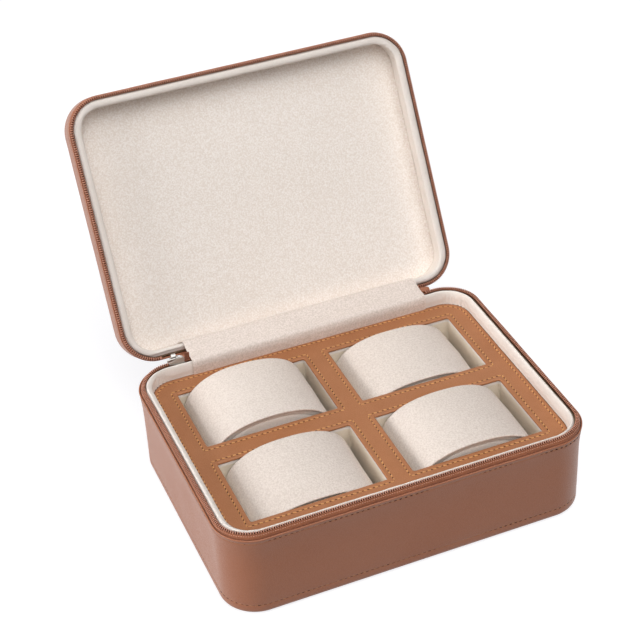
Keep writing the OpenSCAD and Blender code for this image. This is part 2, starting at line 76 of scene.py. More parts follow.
LEAN = {(-1, -1): 0.095, (1, -1): 0.01, (-1, 1): 0.05, (1, 1): 0.03}  # towards the hinge
UP = Vector((0, 0, 1))


def lid_matrix():
    """Turns what is made with the lid shut to the open lid, in millimetres."""
    axis = Matrix.Translation((0, HINGE_Y, HINGE_Z))
    return axis @ Matrix.Rotation(math.radians(-LID_OPEN), 4, "X") @ axis.inverted()


LID = lid_matrix()


# ---- Mesh helpers -----------------------------------------------------------

def mesh_of(name, bm):
    """A mesh of what a bmesh holds; the bmesh is freed."""
    mesh = bpy.data.meshes.new(name)
    bm.to_mesh(mesh)
    bm.free()
    return mesh


def set_up(name, data):
    """An object of a mesh, a lamp or a camera, in the scene."""
    thing = bpy.data.objects.new(name, data)
    bpy.context.scene.collection.objects.link(thing)
    return thing


def finish_piece(name, bm, material, body, replaces=(), smooth=35, turn=None):
    """Makes a piece from a mesh in millimetres, gives it its material and its body."""
    if turn is not None:
        bm.transform(turn)
    bm.transform(Matrix.Scale(MM, 4))
    bmesh.ops.recalc_face_normals(bm, faces=bm.faces)
    mesh = mesh_of(name, bm)
    piece = set_up(name, mesh)
    mesh.shade_smooth()
    if smooth is not None:
        mesh.set_sharp_from_angle(angle=math.radians(smooth))
    mesh.materials.append(material)
    if body:
        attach(piece, body)
    if replaces:
        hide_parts(*replaces)
    return piece


def rim_path(step, arc):
    """Samples of the case's outline, anticlockwise from the right wall's low end: the
    corner or line that each turns about, and its way out."""
    rx, ry = W / 2 - R, D / 2 - R
    corners = [(rx, ry), (-rx, ry), (-rx, -ry), (rx, -ry)]
    samples = []
    for k, (x1, y1) in enumerate(corners):
        x0, y0 = corners[k - 1]
        facing = k * math.pi / 2
        count = round(math.hypot(x1 - x0, y1 - y0) / step)
        for t in (i / count for i in range(count)):
            samples.append((x0 + (x1 - x0) * t, y0 + (y1 - y0) * t,
                            math.cos(facing), math.sin(facing)))
        for a in (facing + math.pi / 2 * i / arc for i in range(arc)):
            samples.append((x1, y1, math.cos(a), math.sin(a)))
    return samples


def at(sample, inward, z):
    """A sample's point at a distance inwards and a height."""
    cx, cy, nx, ny = sample
    return Vector((cx + (R - inward) * nx, cy + (R - inward) * ny, z))


def copies(made):
    """The vertices and edges among what an operator made."""
    return ([g for g in made if isinstance(g, bmesh.types.BMVert)],
            [g for g in made if isinstance(g, bmesh.types.BMEdge)])


def sweep(bm, section, legs=None, start=None, facing=0.0, step=2.5, arc=16, w=W, d=D, r=R,
          ring=False):
    """Draws a section of (inwards, height) points out along straight legs in mm, with a
    spun corner between them, or all the way round a rounded rectangle when no legs are
    given. Each vertex keeps its number in the section. Returns the vertices made."""
    number = bm.verts.layers.int.get("across") or bm.verts.layers.int.new("across")
    before = set(bm.verts)
    closed = legs is None
    legs = legs or [d - 2 * r, w - 2 * r] * 2
    place = start or Vector((w / 2, r - d / 2, 0))
    out = Vector((round(math.cos(facing)), round(math.sin(facing)), 0))
    verts = []
    for k, (o, z) in enumerate(section):
        verts.append(bm.verts.new(place - out * o + Vector((0, 0, z))))
        verts[k][number] = k
    edges = [bm.edges.new(pair) for pair in zip(verts, verts[1:] + (verts[:1] if ring else []))]
    for k, length in enumerate(legs):
        ahead = Vector((-out.y, out.x, 0))
        count = max(1, round(length / step))
        for _ in range(count):
            made = bmesh.ops.extrude_edge_only(bm, edges=edges)
            verts, edges = copies(made["geom"])
            bmesh.ops.translate(bm, vec=ahead * (length / count), verts=verts)
        place = place + ahead * length
        if closed or k < len(legs) - 1:
            made = bmesh.ops.spin(bm, geom=verts + edges, cent=place - out * r, axis=(0, 0, 1),
                                  angle=math.pi / 2, steps=arc, use_duplicate=False)
            verts, edges = copies(made["geom_last"])
            place += (ahead - out) * r
            out = ahead
    made = [v for v in bm.verts if v not in before]
    if closed:
        bmesh.ops.remove_doubles(bm, verts=made, dist=0.0005)
        made = [v for v in made if v.is_valid]
    return made


def beside(co, w=W, d=D, r=R):
    """How far in from a rounded rectangle's edge a point lies, and its way out."""
    rx, ry = w / 2 - r, d / 2 - r
    out = Vector((co.x - min(max(co.x, -rx), rx), co.y - min(max(co.y, -ry), ry), 0))
    return r - out.length, out.normalized()


def along_rim(co):
    """How far round the case a point lies, from the back wall's right end anticlockwise."""
    rx, ry, quarter = W / 2 - R, D / 2 - R, math.pi / 2 * R
    walls = (2 * rx, 2 * ry, 2 * rx, 2 * ry)
    out = beside(co)[1]
    turned = (math.degrees(math.atan2(out.y, out.x)) - 90) % 360
    wall = int(turned // 90)
    corner = turned % 90 / 90 * quarter
    straight = (rx - co.x, ry - co.y, co.x + rx, co.y + ry)[wall]
    if corner > 1e-6:
        straight = walls[wall]
    return sum(walls[:wall]) + wall * quarter + straight + corner


def sway(verts, change):
    """Moves vertices of a run round the case by change(point, inwards, way out)."""
    for v in verts:
        inwards, out = beside(v.co)
        more, rise = change(v.co.copy(), inwards, out)
        v.co += Vector((0, 0, rise)) - out * more


def close_at(bm, z, facing):
    """Closes the open edges at one height by a flat fill, facing up (1) or down (-1)."""
    edges = [e for e in bm.edges if e.is_boundary
             and all(abs(v.co.z - z) < 0.01 for v in e.verts)]
    bmesh.ops.triangle_fill(bm, edges=edges, use_beauty=True, normal=(0, 0, facing))


def cover(bm, rows, closed=False):
    """Quads over rings of points, for the soft pieces; closed joins the last to the first."""
    verts = [[bm.verts.new(p) for p in row] for row in rows]
    count, around = len(rows), len(rows[0])
    for i in range(count if closed else count - 1):
        for j in range(around):
            ids = [(i, j), (i + 1, j), (i + 1, j + 1), (i, j + 1)]
            bm.faces.new([verts[a % count][b % around] for a, b in ids])
    return verts


def arc_points(cx, cz, r, a0, a1, n):
    """Points of an arc in a section, angles in degrees."""
    return [(cx + r * math.cos(math.radians(a0 + (a1 - a0) * k / n)),
             cz + r * math.sin(math.radians(a0 + (a1 - a0) * k / n))) for k in range(n + 1)]


def set_along(point, along, up, length, width, height):
    """A matrix that lays a unit ball along a line: its pole along it, its top to up."""
    side = along.cross(up).normalized()
    turn = Matrix((side * (width / 2), up.normalized() * (height / 2),
                   along.normalized() * (length / 2))).transposed()
    return Matrix.Translation(point) @ turn.to_4x4()


def scattered(shape, places):
    """Copies of one small shape, set by a matrix each."""
    one = mesh_of("one", shape)
    bm = bmesh.new()
    for place in places:
        copy = one.copy()
        copy.transform(place)
        bm.from_mesh(copy)
        bpy.data.meshes.remove(copy)
    bpy.data.meshes.remove(one)
    return bm


def smooth_noise(x, y, z, scale, seed=0.0):
    """Smooth unevenness between -1 and 1; scale is its changes to the millimetre."""
    return noise.noise(Vector((x * scale + seed, y * scale - seed, z * scale + 2 * seed)))


# ---- Shader helpers ---------------------------------------------------------

class Value:
    """A socket of a node tree that takes plain arithmetic."""

    def __init__(self, nodes, socket):
        self.nodes, self.socket = nodes, socket

    def math(self, operation, first, second):
        return self.nodes.node("Math", 0, {0: first, 1: second}, operation=operation)

    def __add__(self, other):
        return self.math("ADD", self, other)

    def __sub__(self, other):
        return self.math("SUBTRACT", self, other)

    def __rsub__(self, other):
        return self.math("SUBTRACT", other, self)

    def __mul__(self, other):
        return self.math("MULTIPLY", self, other)

    __radd__, __rmul__ = __add__, __mul__

    def ramp(self, full=1.0):
        """Rises softly from 0 where the value is 0 to 1 where it is full."""
        return self.nodes.node("MapRange", "Result", {"Value": self, "From Max": full},
                               interpolation_type="SMOOTHSTEP")


class Nodes:
    """A node tree, and the nodes that the looks are made of."""

    def __init__(self, tree):
        self.tree = tree

    def put(self, socket, item):
        if isinstance(item, Value):
            self.tree.links.new(item.socket, socket)
        else:
            socket.default_value = item

    def node(self, kind, output, inputs=None, **settings):
        node = self.tree.nodes.new("ShaderNode" + kind)
        for key, value in settings.items():
            setattr(node, key, value)
        for key, item in (inputs or {}).items():
            self.put(node.inputs[key], item)
        return Value(self, node.outputs[output])

    def mix(self, factor, first, second):
        """A mix of two colours; they are inputs 6 and 7 of a Mix node, and output 2."""
        return self.node("Mix", 2, {0: factor, 6: first, 7: second}, data_type="RGBA")

    def place(self, scale=(1, 1, 1), turn=(0, 0, 0)):
        coords = self.node("TexCoord", "Object")
        return self.node("Mapping", 0, {"Vector": coords, "Scale": scale, "Rotation": turn})

    def noise(self, scale, detail=2.0, rough=0.5, at=None, distortion=0.0):
        return self.node("TexNoise", 0, {"Vector": at or self.node("TexCoord", "Object"),
                         "Scale": scale, "Detail": detail, "Roughness": rough,
                         "Distortion": distortion})

    def cells(self, scale, feature="F1", at=None):
        return self.node("TexVoronoi", "Distance", {"Scale": scale, "Vector":
                         at or self.node("TexCoord", "Object")}, feature=feature)


class Mat(Nodes):
    """A procedural material round one Principled shader."""

    def __init__(self, name, roughness, **fixed):
        self.material = bpy.data.materials.new(name)
        self.material.use_nodes = True
        super().__init__(self.material.node_tree)
        self.shader = self.tree.nodes["Principled BSDF"]
        self.shader.inputs["Roughness"].default_value = roughness
        for key, value in fixed.items():
            self.shader.inputs[key.replace("_", " ")].default_value = value

    def colour(self, tone, base, dark):
        """Base where the tone is 0, dark where it is 1."""
        self.put(self.shader.inputs["Base Color"], self.mix(tone, base, dark))

    def rough(self, value):
        self.put(self.shader.inputs["Roughness"], value)

    def bump(self, *layers):
        """Stacks (height, distance in metres, strength) layers into the normal."""
        normal = None
        for height, distance, strength in layers:
            inputs = {"Height": height, "Distance": distance, "Strength": strength}
            if normal:
                inputs["Normal"] = normal
            normal = self.node("Bump", 0, inputs)
        self.put(self.shader.inputs["Normal"], normal)


def rgb(r, g, b):
    """A colour of the 0-255 scale as linear light."""
    def line(c):
        c /= 255
        return c / 12.92 if c <= 0.04045 else ((c + 0.055) / 1.055) ** 2.4
    return (line(r), line(g), line(b), 1.0)


def leather(name, base, dark, rough=0.44, coat=0.0, blotch=0.8):
    """Leather: pebbled cells, fine creases and a slow change of tone."""
    grain, depth = 900.0, 0.00006
    m = Mat(name, rough, Specular_IOR_Level=0.45, Coat_Weight=coat, Coat_Roughness=0.3)
    where = m.place()
    warp = m.noise(grain * 0.4, 2.0, at=where)
    cell = m.cells(grain, at=where, feature="DISTANCE_TO_EDGE").ramp(0.22)
    fine = m.noise(grain * 3.2, 3.0, 0.6, at=where)
    slow = m.noise(22.0, 3.0, 0.55, at=where)
    spots = m.noise(130.0, 4.0, 0.6, at=where)
    tone = (slow - 0.5) * blotch + (spots - 0.5) * blotch * 0.5 + (1 - cell) * 0.2 + 0.35
    m.colour(tone.ramp(), base, dark)
    m.rough((slow - 0.5) * 0.16 + (1 - cell) * 0.12 + rough)
    m.bump((cell + warp * 0.5, depth, 0.55), (fine, depth * 0.5, 0.5),
           (spots, depth * 4, 0.25))
    return m.material


def velvet(name, base, dark):
    """Short-napped velvet: fine fibre noise, brushed patches and a soft sheen."""
    m = Mat(name, 0.9, Specular_IOR_Level=0.12, Sheen_Weight=0.15, Sheen_Roughness=0.45,
            Sheen_Tint=(1, 0.96, 0.92, 1))
    where = m.place()
    fibre = m.noise(2600.0, 2.0, 0.6, at=where)
    fuzz = m.noise(700.0, 3.0, 0.65, at=where)
    brushed = m.noise(38.0, 3.0, 0.6, at=where, distortion=0.6)
    tone = (brushed - 0.5) * 0.5 + (fuzz - 0.5) * 0.35 + (fibre - 0.5) * 0.3 + 0.42
    m.colour(tone.ramp(), base, dark)
    m.bump((fuzz, 0.00018, 0.35), (fibre, 0.00012, 0.4))
    return m.material


def woven(name, base, dark):
    """Zipper tape: fine ribs along it, crossed by a twill, from its own UV in mm."""
    pitch = 0.55
    m = Mat(name, 0.8, Specular_IOR_Level=0.25, Sheen_Weight=0.25, Sheen_Roughness=0.5)
    uv = m.node("TexCoord", "UV")
    along = m.node("Mapping", 0, {"Vector": uv, "Rotation": (0, 0, 0.72)})
    ribs = m.node("TexWave", "Fac", {"Vector": along, "Scale": 0.5 / pitch, "Distortion": 0.6,
                                     "Detail": 2.0}, wave_type="BANDS", bands_direction="X")
    rows = m.node("TexWave", "Fac", {"Vector": uv, "Scale": 0.45 / pitch, "Distortion": 0.3},
                  wave_type="BANDS", bands_direction="Y")
    fuzz = m.noise(900.0, 3.0, 0.7)
    slow = m.noise(60.0, 2.0)
    weave = ribs * 0.6 + rows * 0.4
    tone = (1 - weave) * 0.5 + (fuzz - 0.5) * 0.5 + (slow - 0.5) * 0.5 + 0.2
    m.colour(tone.ramp(), base, dark)
    m.bump((weave, 0.00012, 0.8), (fuzz, 0.00012, 0.35))
    return m.material


def thread(name, base, dark):
    """Waxed thread: a twist along each stitch and a slight change of tone."""
    m = Mat(name, 0.55, Specular_IOR_Level=0.4, Sheen_Weight=0.2)
    twist = m.noise(2600.0, 2.0, at=m.place(turn=(0.5, 0.5, 0.8), scale=(1, 0.35, 1)))
    slow = m.noise(180.0, 2.0)
    m.colour(((twist - 0.5) * 0.9 + (slow - 0.5) * 0.6 + 0.45).ramp(), base, dark)
    m.bump((twist, 0.00008, 0.6))
    return m.material


def metal(name, tone, rough):
    """Plated zinc: satin, with faint casting ripples and rubbed patches."""
    m = Mat(name, rough, Metallic=1.0)
    fine = m.noise(1500.0, 3.0, 0.6)
    slow = m.noise(160.0, 2.0)
    m.colour((slow - 0.5) * 0.8 + 0.5, tone, tuple(0.82 * c for c in tone[:3]) + (1,))
    m.rough((fine - 0.5) * 0.12 + (slow - 0.5) * 0.1 + rough)
    m.bump((fine, 0.00002, 0.3), (slow, 0.00003, 0.2))
    return m.material


def nylon(name, base, dark):
    """Nylon coil: glossy, with a slow change of tone; the dark between the turns is the cord's
    painted shade.
    """
    m = Mat(name, 0.38, Specular_IOR_Level=0.5)
    slow = m.noise(500.0, 2.0)
    fine = m.noise(2500.0, 2.0)
    m.colour(((slow - 0.5) * 1.4 + 0.5).ramp(), base, dark)
    m.rough((fine - 0.5) * 0.2 + 0.38)
    m.bump((fine, 0.00003, 0.4))
    return m.material


def suede(name, base, dark, depth=0.00016, tint=0.3):
    """Cream suede cloth: a fine pebble under a soft nap, with a slow change of tone."""
    pebbles = 1150.0
    m = Mat(name, 0.85, Specular_IOR_Level=0.15, Sheen_Weight=0.12, Sheen_Roughness=0.5)
    where = m.place()
    cell = m.cells(pebbles, at=where, feature="SMOOTH_F1").ramp(0.75)
    pebble = m.noise(pebbles * 0.9, 3.0, 0.6, at=where)
    fine = m.noise(pebbles * 2.6, 2.0, 0.6, at=where)
    slow = m.noise(16.0, 2.0, at=where)
    tone = (cell * tint + (pebble - 0.5) * tint * 2.2 + (slow - 0.5) * 0.3
            + (fine - 0.5) * tint + 0.2)
    m.colour(tone.ramp(), base, dark)
    m.bump((pebble - cell * 0.6, depth, 0.5), (fine, depth * 0.4, 0.35))
    return m.material


def plain_stock(name, base, dark, scale, depth=0.0002):
    """Foam, board, or the painted shade of the coil's cord and of a needle hole: open speckle
    over a slow change of tone.
    """
    m = Mat(name, 0.9, Specular_IOR_Level=0.15)
    pores = m.cells(scale)
    speck = m.noise(scale * 1.7, 3.0, 0.7)
    slow = m.noise(30.0, 2.0)
    m.colour(((speck - 0.5) * 1.1 + (slow - 0.5) * 0.5 + 0.4).ramp(), base, dark)
    m.bump((pores, depth, 0.5), (speck, depth * 0.5, 0.4))
    return m.material


TAN = leather("tan_leather", rgb(173, 114, 73), rgb(153, 97, 60))
TAN_SIDE = leather("tan_side_leather", rgb(167, 103, 69), rgb(152, 91, 60), 0.34, 0.15, 0.35)
CREAM = velvet("cream_velvet", rgb(239, 231, 224), rgb(222, 211, 201))
POCKET = velvet("pocket_velvet", rgb(238, 227, 209), rgb(220, 205, 184))
# the same cream cloth as the cushions, made lighter than their suede: painted light for the
# recessed panel, which gets less lamp light
LIT_PANEL = suede("lid_panel_suede_painted_light", rgb(253, 246, 240), rgb(234, 222, 211), 0.0003, 0.6)
FLAP = suede("flap_suede", rgb(243, 230, 222), rgb(216, 202, 191), 0.0003, 0.55)
CUSHION = suede("cushion_suede", rgb(236, 225, 216), rgb(208, 194, 183), 0.0003, 0.4)
ENDS = suede("cushion_end_suede", rgb(230, 220, 210), rgb(212, 201, 191))
TAPE = woven("zipper_tape_weave", rgb(174, 108, 74), rgb(116, 66, 44))
# lighter than the tape: partly the nylon's own colour, partly painted highlight on the tops of
# the turns
COIL = nylon("coil_nylon_and_highlight", rgb(206, 148, 122), rgb(168, 108, 84))
SILVER = metal("slider_plating", (0.62, 0.6, 0.57, 1), 0.48)
GOLD = thread("gold_thread", rgb(222, 164, 98), rgb(162, 104, 54))
# the gold thread made darker for the stitches on the upright walls: painted shade
SHADED_THREAD = thread("wall_thread_painted_shade", rgb(178, 124, 74), rgb(130, 84, 48))
PINK = thread("zipper_thread", rgb(216, 164, 140), rgb(180, 124, 100))
# the coil's filler cord, far darker than the tape it matches: painted shade between the coil's
# turns
SHADE_CORD = plain_stock("coil_cord_painted_shade", rgb(92, 50, 36), rgb(62, 32, 22), 2600.0, 0.00006)
# nearly black discs laid on the leather at each needle hole: painted shade of the holes
HOLE_SHADE = plain_stock("needle_hole_shade", rgb(58, 30, 17), rgb(36, 20, 12), 3000.0, 0.00005)
FOAM = plain_stock("grey_foam", rgb(150, 150, 152), rgb(105, 105, 108), 900.0)
BOARD = plain_stock("grey_board", rgb(164, 146, 122), rgb(132, 114, 92), 1400.0, 0.00006)


def stuff_of(node):
    """What a node of the CAD frame is made of, by its name."""
    named = (("board", BOARD), ("lid_shell", BOARD), ("block", FOAM), ("core", FOAM),
             ("lid_padding", FOAM), ("zip_slider", SILVER), ("slider_bail", SILVER),
             ("pull_link", SILVER), ("pocket", POCKET), ("tape", TAPE), ("teeth", COIL),
             ("leather", TAN), ("pull_tab", TAN))
    return next((material for word, material in named if word in node), CREAM)


for node, thing in NODES.items():
    thing.data.materials.clear()
    thing.data.materials.append(stuff_of(node))


# ---- Stitches ---------------------------------------------------------------

def stitch_track(points, closed=True):
    """A polyline's running length, for placing stitches along it."""
    pts = list(points) + ([points[0]] if closed else [])
    run = [0.0]
    for a, b in zip(pts, pts[1:]):
        run.append(run[-1] + (b[0] - a[0]).length)

    def where(s):
        s = min(max(s, 0.0), run[-1] - 1e-6)
        k = next(i for i in range(len(run) - 1) if run[i + 1] > s)
        t = (s - run[k]) / (run[k + 1] - run[k])
        (p0, n0), (p1, n1) = pts[k], pts[k + 1]
        return p0.lerp(p1, t), n0.lerp(n1, t).normalized(), (p1 - p0).normalized()
    return run[-1], where


def stitch_row(name, tracks, body, material=GOLD, pitch=3.05, fill=0.7, width=0.9,
               height=0.62, slant=0.34, closed=True, holes=True, turn=None):
    """Slanted stitches along lines of (point, normal), with a dark disc between them as the
    painted shade of a needle hole.
    """
    laid, hole_shade_places = [], []
    hole = (0.02, 0.85, 1.5)          # a needle hole's depth, width and length
    for points in tracks:
        total, where = stitch_track(points, closed)
        count = max(1, round(total / pitch))
        step = total / count
        for k in range(count):
            mid, up, along = where((k + 0.5) * step)
            wander = smooth_noise(mid.x, mid.y, mid.z, 0.9, 3.0)
            lean = along + along.cross(up) * (2 * slant * (1 + 0.35 * wander) / (step * fill))
            laid.append(set_along(mid + up * (0.05 * wander), lean, up,
                                  step * fill * lean.length, width * (1 + 0.1 * wander), height))
            place, up, along = where((k + 1.0) * step)
            # a flat dark disc just over the surface at each needle hole: painted shade
            hole_shade_places.append(set_along(place + up * 0.03, up, along, *hole))
    bead = bmesh.new()
    bmesh.ops.create_uvsphere(bead, u_segments=8, v_segments=8, radius=1.0)
    finish_piece(name, scattered(bead, laid), material, body, smooth=None, turn=turn)
    if holes:
        prick = bmesh.new()
        bmesh.ops.create_circle(prick, cap_ends=True, segments=8, radius=1.0)
        finish_piece(name.replace("stitches", "needle_holes"), scattered(prick, hole_shade_places), HOLE_SHADE,
                     body, smooth=None, turn=turn)


def rim_line(inward, z, upright=False):
    """A line of (point, normal) round the case, on an upright face or a level one."""
    return [(at(s, inward, z), Vector((s[2], s[3], 0)) if upright else UP)
            for s in rim_path(1.5, 16)]


# ---- Base leather -----------------------------------------------------------

def base_side():
    """The leather round the base: hem, rounded bottom edge, folded rim band."""
    bm = bmesh.new()
    section = [(8.0, 1.5), (8.0, 0.45), (7.6, 0.3), (3.0, 0.3)]
    section += arc_points(3.0, 3.3, 3.0, 270, 180, 8)[1:]
    section += [(0.0, 5.6), (0.03, 6.0), (0.16, 6.5), (0.03, 7.0), (0.0, 7.4)]
    section += [(0.0, z) for z in (12, 20, 28, 33)]
    section += [(-0.04, 37.0), (-0.16, 41.0), (-0.36, 45.0), (-0.62, 48.0), (-0.82, 49.8),
                (-0.86, 50.5), (-0.74, 51.0), (-0.9, 51.5), (-1.06, 52.1), (-1.2, 52.7)]
    section += arc_points(-0.80, 53.0, 0.42, 180, 0, 8)
    section += [(-0.34, 52.2), (-0.22, 51.4), (-0.1, 50.0)]

    def uneven(co, inwards, out):
        edge = co - out * co.dot(out) + out * (Vector((co.x, co.y)).dot(out.xy) + inwards)
        k = smooth_noise(edge.x, edge.y, co.z, 0.045, 1.0) * 0.22
        k += smooth_noise(edge.x, edge.y, co.z, 0.16, 7.0) * 0.05
        k *= min(1.0, max(0.0, (co.z - 3.0) / 6.0))
        return k, 0.12 * smooth_noise(edge.x, edge.y, 0, 0.06, 4.0) if co.z > 50 else 0.0
    sway(sweep(bm, section, arc=20), uneven)
    finish_piece("base_side_skin", bm, TAN_SIDE, "base", ["side_leather"])
    # the walls' stitches take the darker thread: painted shade on the upright faces
    stitch_row("side_stitches", [rim_line(-0.74, 51.0, True), rim_line(0.16, 6.5, True)], "base",
               SHADED_THREAD, slant=0.0, fill=0.5, width=0.42, height=0.3)


def tray():
    """The tray's leather: turned edges round the openings, a groove for each stitch row."""
    bm = bmesh.new()
    edge = [(0.0, -3.3), (0.0, -0.9), (0.06, -0.4), (0.26, -0.08), (0.6, 0.05), (1.9, 0.05),
            (2.35, -0.1), (2.6, -0.17), (2.85, -0.1), (3.4, 0.0), (4.4, 0.0)]
    sweep(bm, [(TRAY_IN + o, TRAY_Z + z) for o, z in edge])
    hole_edge = [(1.1, -1.5), (0.5, -1.45), (0.12, -1.15), (0.0, -0.7), (0.1, -0.25),
                 (0.36, 0.06), (0.75, 0.2), (1.15, 0.19), (1.7, 0.1), (2.3, 0.03), (2.7, -0.1),
                 (3.0, -0.16), (3.25, -0.1), (3.7, 0.0), (4.6, 0.0)]
    reach = 3.0                       # of the stitches' groove from the opening
    lines = []
    for sx, sy in NAMES:
        ring = sweep(bm, [(-o, TRAY_Z + z) for o, z in hole_edge], w=OPEN_W, d=OPEN_D, r=OPEN_R,
                     arc=8, step=3.0)
        for v in ring:
            inwards, out = beside(v.co, OPEN_W, OPEN_D, OPEN_R)
            square = out / max(abs(out.x), abs(out.y))
            v.co += (square - out) * -inwards
            v.co += Vector((sx * OPEN_X, sy * OPEN_Y, 0))
        x, y = OPEN_W / 2 + reach, OPEN_D / 2 + reach
        corners = [Vector((sx * OPEN_X + a * x, sy * OPEN_Y + b * y, TRAY_Z - 0.14))
                   for a, b in ((1, -1), (1, 1), (-1, 1), (-1, -1))]
        lines += [[(a, UP), (b, UP)] for a, b in zip(corners, corners[1:] + corners[:1])]
    close_at(bm, TRAY_Z, 1)
    finish_piece("tray_skin", bm, TAN, "base", ["tray_leather"], smooth=60)
    stitch_row("opening_stitches", lines, "base", closed=False)
    stitch_row("tray_stitches", [rim_line(TRAY_IN + 2.6, TRAY_Z - 0.15)], "base")
    # the velvet of each pocket, turned up behind the tray's edge
    bm = bmesh.new()
    for sx, sy in NAMES:
        ring = sweep(bm, [(-0.42, 43.7), (-0.4, 44.6), (-0.5, 45.2), (-0.95, 45.6)], w=OPEN_W,
                     d=OPEN_D, r=OPEN_R, arc=8, step=6.0)
        bmesh.ops.translate(bm, vec=(sx * OPEN_X, sy * OPEN_Y, 0), verts=ring)
    finish_piece("pocket_hems", bm, CREAM, "base", smooth=50)


# ---- Padded linings ---------------------------------------------------------

def swell(piece, held, pressure=400.0, most=0.9):
    """Fills a padded cover by cloth simulation, between the seams that hold it."""
    trial = set_up(piece.name + "_trial", piece.data.copy())
    seams = trial.vertex_groups.new(name="seams")
    seams.add([k for k in range(len(trial.data.vertices)) if held(k)], 1.0, "REPLACE")
    cloth = trial.modifiers.new("swell", "CLOTH").settings
    cloth.quality = 5
    cloth.mass = 0.001
    cloth.tension_stiffness = cloth.compression_stiffness = 12
    cloth.shear_stiffness = 5
    cloth.bending_stiffness = 0.1
    cloth.use_pressure = True
    cloth.uniform_pressure_force = pressure
    cloth.effector_weights.gravity = 0
    cloth.vertex_group_mass = "seams"
    for frame_number in range(1, 21):
        bpy.context.scene.frame_set(frame_number)
    filled = trial.evaluated_get(bpy.context.evaluated_depsgraph_get()).to_mesh()
    for vert, moved in zip(piece.data.vertices, filled.vertices):
        step = moved.co - vert.co
        vert.co += step * min(1.0, most * MM / max(step.length, 1e-9))
    trial_mesh = trial.data
    bpy.data.objects.remove(trial)
    bpy.data.meshes.remove(trial_mesh)
    bpy.context.scene.frame_set(1)


def near_seams(piece, last, rows=3):
    """Tells which vertices lie within a few rows of a section's two ends."""
    number = [item.value for item in piece.data.attributes["across"].data]
    return lambda k: not rows <= number[k] <= last - rows


def window(x, low, high, soft):
    """1 between low and high, rising softly from 0 over the first and last stretch."""
    k = max(0.0, min((x - low) / soft, (high - x) / soft, 1.0))
    return k * k * (3 - 2 * k)


def base_lining():
    """The padded lining of the base's wall: a rounded lip, and puckers at the corners."""
    bm = bmesh.new()
    section = [(3.4, 51.0), (3.38, 52.6), (3.4, 53.6), (3.44, 54.4), (3.54, 55.05), (3.72, 55.5),
               (3.98, 55.76), (4.28, 55.8), (4.6, 55.6), (4.92, 55.15), (5.22, 54.4), (5.5, 53.4),
               (5.74, 52.2), (5.93, 51.0), (6.07, 49.8), (6.17, 48.8), (6.24, 48.0), (6.3, 47.1)]

    def puckered(co, inwards, out):
        x, y, z = co
        more = 0.1 * smooth_noise(x, y, z, 0.12, 2.0)
        rise = 0.1 * smooth_noise(x, y, 0, 0.1, 5.0) if z > 53 else 0.0
        corner = min(1.0, abs(out.x * out.y) * 2)
        round_it = math.atan2(out.y, out.x) * R
        low = window(z, 40, 54.6, 4.0)
        drift = 2.0 * smooth_noise(x, y, z * 0.3, 0.1)
        back = window(y, 50, 100, 12)
        wide, narrow = round_it * 2 * math.pi / 3.3, round_it * 2 * math.pi / 1.7
        more -= corner * low * (0.14 + 0.14 * back) * math.sin(wide + drift)
        more -= low * back * (0.25 + corner) * 0.13 * math.sin(narrow + x * 2.9 + drift)
        # on the left the roll leans out over the zipper
        left = max(0.0, -out.x) ** 2
        more -= 0.6 * left * window(z, 52.2, 57.5, 1.6) * window(inwards, 0, 4.4, 0.5)
        more += 0.95 * left * window(z, 51.5, 57.5, 2.6) * window(inwards, 4.7, 9.0, 0.7)
        if y > 60:
            more += window(x, *CLEARED, 8.0) * max(0.0, 4.25 - inwards)
        return more, rise
    sway(sweep(bm, section, step=1.2, arc=72), puckered)
    piece = finish_piece("base_wall_padding", bm, CREAM, "base", ["wall_lining"],
                         smooth=None)
    swell(piece, near_seams(piece, len(section) - 1), 250.0, 0.35)


def lid_lining():
    """The padded lining of the lid's wall, rolled over at its edge."""
    bm = bmesh.new()
    section = [(3.5, 62.0), (3.42, 60.4)]
    section += [(5.12 + 1.75 * math.cos(a), 59.15 - 1.55 * math.sin(a))
                for a in (math.radians(190 - 15 * k) for k in range(14))]
    section += [(6.76, 61.2), (6.5, 64.0), (6.14, 67.5), (5.78, 72.3)]

    def puckered(co, inwards, out):
        x, y, z = co
        more = 0.12 * smooth_noise(x, y, z, 0.12, 12.0)
        rise = 0.1 * smooth_noise(x, y, 0, 0.1, 15.0) if z < 60 else 0.0
        corner = min(1.0, abs(out.x * out.y) * 2)
        round_it = math.atan2(out.y, out.x) * R
        more -= corner * window(z, 60.5, 75, 3) * 0.16 * math.sin(
            round_it * 2 * math.pi / 2.9 + 1.5 * smooth_noise(x, y, z, 0.1))
        # the roll is wider where the flap doesn't lie over it
        free = (1 - max(0.0, out.y)) * window(z, 57.0, 61.5, 1.0)
        more += free * (0.7 * window(inwards, 5.1, 9.0, 0.8)
                        - 0.25 * window(inwards, 3.0, 4.6, 0.5))
        if y > 60:
            away = Vector((y - HINGE_Y, z - HINGE_Z))
            push = max(0.0, 8.35 - away.length) * window(x, *CLEARED, 10.0)
            more -= away.normalized().x * push
            rise += away.normalized().y * push
        return more, rise
    sway(sweep(bm, section, step=1.2, arc=36), puckered)
    piece = finish_piece("lid_wall_padding", bm, CREAM, "lid", ["lid_wall_lining"],
                         smooth=None, turn=LID)
    swell(piece, near_seams(piece, len(section) - 1), 250.0, 0.3)


def lid_panel():
    """The panel that closes the lid's hollow: a stuck-down sheet with a turned edge."""
    bm = bmesh.new()
    sweep(bm, [(5.5, 72.8), (5.55, 72.45), (5.75, 72.12), (6.2, 71.98), (7.0, 72.06),
               (7.7, 72.15), (8.5, 72.08), (10.0, 72.0), (13.0, 72.0), (18.0, 72.02)], arc=12)
    close_at(bm, 72.02, -1)
    # the panel's lighter colour is painted light
    finish_piece("lid_panel_sheet", bm, LIT_PANEL, "lid", ["lid_panel"],
                 smooth=60, turn=LID)


